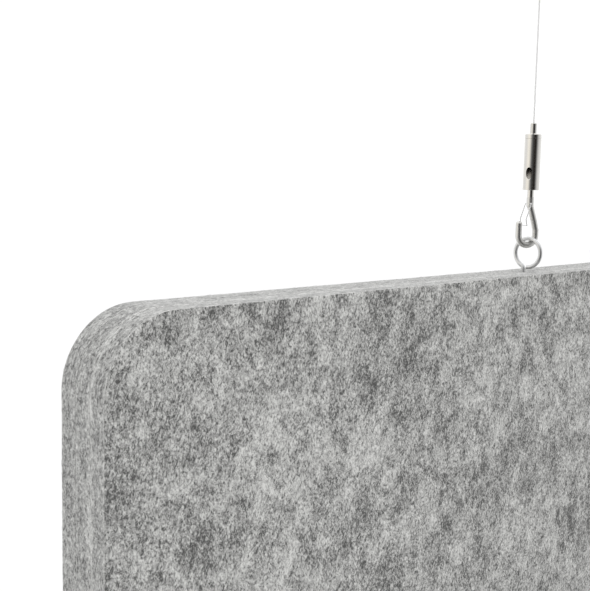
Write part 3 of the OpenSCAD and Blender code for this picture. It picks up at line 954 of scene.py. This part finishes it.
chosen = fuzz.node("GeometryNodeMaterialSelection", {}, {"Material": fuzz.size("On")})
spots = fuzz.node("GeometryNodeDistributePointsOnFaces", {}, {
    "Mesh": fuzz.size("Geometry"), "Selection": chosen, "Density": fuzz.size("Per square metre"),
    "Seed": fuzz.size("Seed")})
lay_of = fuzz.node("GeometryNodeInputNamedAttribute", {"data_type": "FLOAT_VECTOR"}, {"Name": "along"})
flat = fuzz.node(
    "FunctionNodeAlignRotationToVector", {"axis": "Z"}, {"Vector": spots.output("Normal")})
lying = fuzz.node(
    "FunctionNodeAlignRotationToVector", {"axis": "X", "pivot_axis": "Z"},
    {"Rotation": flat, "Vector": lay_of})
spin = fuzz.node(
    "FunctionNodeRandomValue", {"data_type": "FLOAT"},
    {2: 0 - fuzz.size("Spread"), 3: fuzz.size("Spread"), "Seed": fuzz.size("Seed")}, 1)
spun = fuzz.node("FunctionNodeAxisAngleToRotation", {}, {"Axis": (0, 0, 1), "Angle": spin})
turned = fuzz.node("FunctionNodeRotateRotation", {"rotation_space": "LOCAL"}, {0: lying, 1: spun})
stretch = fuzz.node(
    "FunctionNodeRandomValue", {"data_type": "FLOAT_VECTOR"},
    {0: SMALLEST, 1: LARGEST, "Seed": fuzz.size("Seed") + 1})
hairs = fuzz.node("GeometryNodeInstanceOnPoints", {}, {
    "Points": spots, "Instance": thread, "Rotation": turned, "Scale": stretch})
fuzz.finish(hairs, fibre_material)

EDGE_FUZZ = {
    "On": felt_edge, "Per square metre": 70000.0, "Length": 0.0028, "Thickness": 0.00007,
    "Lift": 0.0003, "Spread": 0.9}
FACE_FUZZ = {
    "On": felt_face, "Per square metre": 12000.0, "Length": 0.0036, "Thickness": 0.00008,
    "Lift": 0.0002, "Spread": 3.1}
FIRST_SEED = 10
for number, (name, ply) in enumerate(plies.items()):
    for place, sizes in (("edge", EDGE_FUZZ), ("face", FACE_FUZZ)):
        if name == "core" and place == "face":
            continue
        hair = fuzz.bake(f"{name}_{place}_fibres", {**sizes, "Seed": FIRST_SEED + number}, ply.data)
        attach(hair, "panel")

# %% [markdown]
# The studio is a pale floor under a plain pale sky, with one wide soft light overhead.
# The light from above makes the panel's top edge paler than its faces, as in the photograph.
# Neither the floor nor the light is mirrored, so that the metal shows only the sky made for it, and
# the light itself is never seen.

# %% Floor and light
FLOOR_Z = -2.2
FLOOR_HALF = 30.0
FLOOR_CORNERS = ((-1, -1), (1, -1), (1, 1), (-1, 1))
LIGHT_Z = 1.7
LIGHT_ACROSS = 2.6
LIGHT_WATTS = 16.0

floor_mesh = bpy.data.meshes.new("floor")
floor_mesh.from_pydata(
    [(x * FLOOR_HALF, y * FLOOR_HALF, FLOOR_Z) for x, y in FLOOR_CORNERS], [], [(0, 1, 2, 3)])
floor = add_piece("floor", floor_mesh)
floor_material, _, _ = new_material(
    "pale_floor", {"Base Color": colour_of(0.94), "Roughness": 0.9})
floor_mesh.materials.append(floor_material)
floor.visible_glossy = False
floor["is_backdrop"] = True

overhead = bpy.data.objects.new("overhead_light", bpy.data.lights.new("overhead_light", "AREA"))
overhead.data.shape = "DISK"
overhead.data.size = LIGHT_ACROSS
overhead.data.energy = LIGHT_WATTS
overhead.location = (0.0, 0.0, LIGHT_Z)
overhead.visible_glossy = False
overhead.visible_camera = False
scene.collection.objects.link(overhead)
print("light", LIGHT_WATTS, "W at", LIGHT_Z, "m")

# %% [markdown]
# Bright metal needs something dark to mirror, or it looks like white plastic. So the sky that metal
# mirrors has a dark side, which stands for the unlit room behind the camera, and a warm bright one.
# Its greys are a colour ramp that runs once round the horizon, and it pales towards the top. Which sky
# a ray sees depends on its kind: a mirrored ray gets this one, and all others the plain one.

# %% Sky
SKY = 1.08
MIRRORED = (
    (0.00, 1.05), (0.12, 1.25), (0.32, 0.90), (0.445, (1.16, 1.12, 1.04)), (0.50, (0.90, 0.87, 0.81)),
    (0.55, 0.26), (0.605, 0.07), (0.69, (0.012, 0.008, 0.006)), (0.735, 0.05), (0.78, 0.36), (0.82, 0.68),
    (0.90, 0.93), (1.00, 1.05))
MIRRORED_TOP = 1.25
TOP_RISES = 1.6
TOP_STARTS = 0.35

world = bpy.data.worlds.new("studio")
world.use_nodes = True
scene.world = world
sky = Bench(world.node_tree)
plain = world.node_tree.nodes["Background"]
plain.inputs["Color"].default_value = colour_of(1.0)
plain.inputs["Strength"].default_value = SKY
direction = sky.node("ShaderNodeTexCoord", {}, {}, "Generated")
east, north, high = (sky.part(direction, axis) for axis in range(3))
around = north.maths("ARCTAN2", east) / math.tau
share = (around + 1).maths("FRACT")
bands = sky.node("ShaderNodeValToRGB", {"stops": MIRRORED}, {"Fac": share})
above = (high * TOP_RISES - TOP_STARTS).clamped()
studio = sky.node("ShaderNodeBackground", {}, {"Color": sky.blend(above, bands, MIRRORED_TOP)})
is_mirrored = sky.node("ShaderNodeLightPath", {}, {}, "Is Glossy Ray")
chosen_sky = sky.node("ShaderNodeMixShader", {}, {0: is_mirrored, 1: Value(sky, plain.outputs[0]), 2: studio})
sky.tree.links.new(chosen_sky.socket, world.node_tree.nodes["World Output"].inputs["Surface"])
scene.view_settings.view_transform = "Standard"
print("sky", SKY, "and", len(MIRRORED), "mirrored stops")

# %% [markdown]
# The visual model may not grow beyond the CAD model, so both boxes are written down to be compared.

# %% Gather the sizes and finish
visual_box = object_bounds()
sizes = {"cad": [list(corner) for corner in cad_box], "visual": [list(corner) for corner in visual_box]}
print("visual box", [round(x, 4) for corner in visual_box for x in corner])
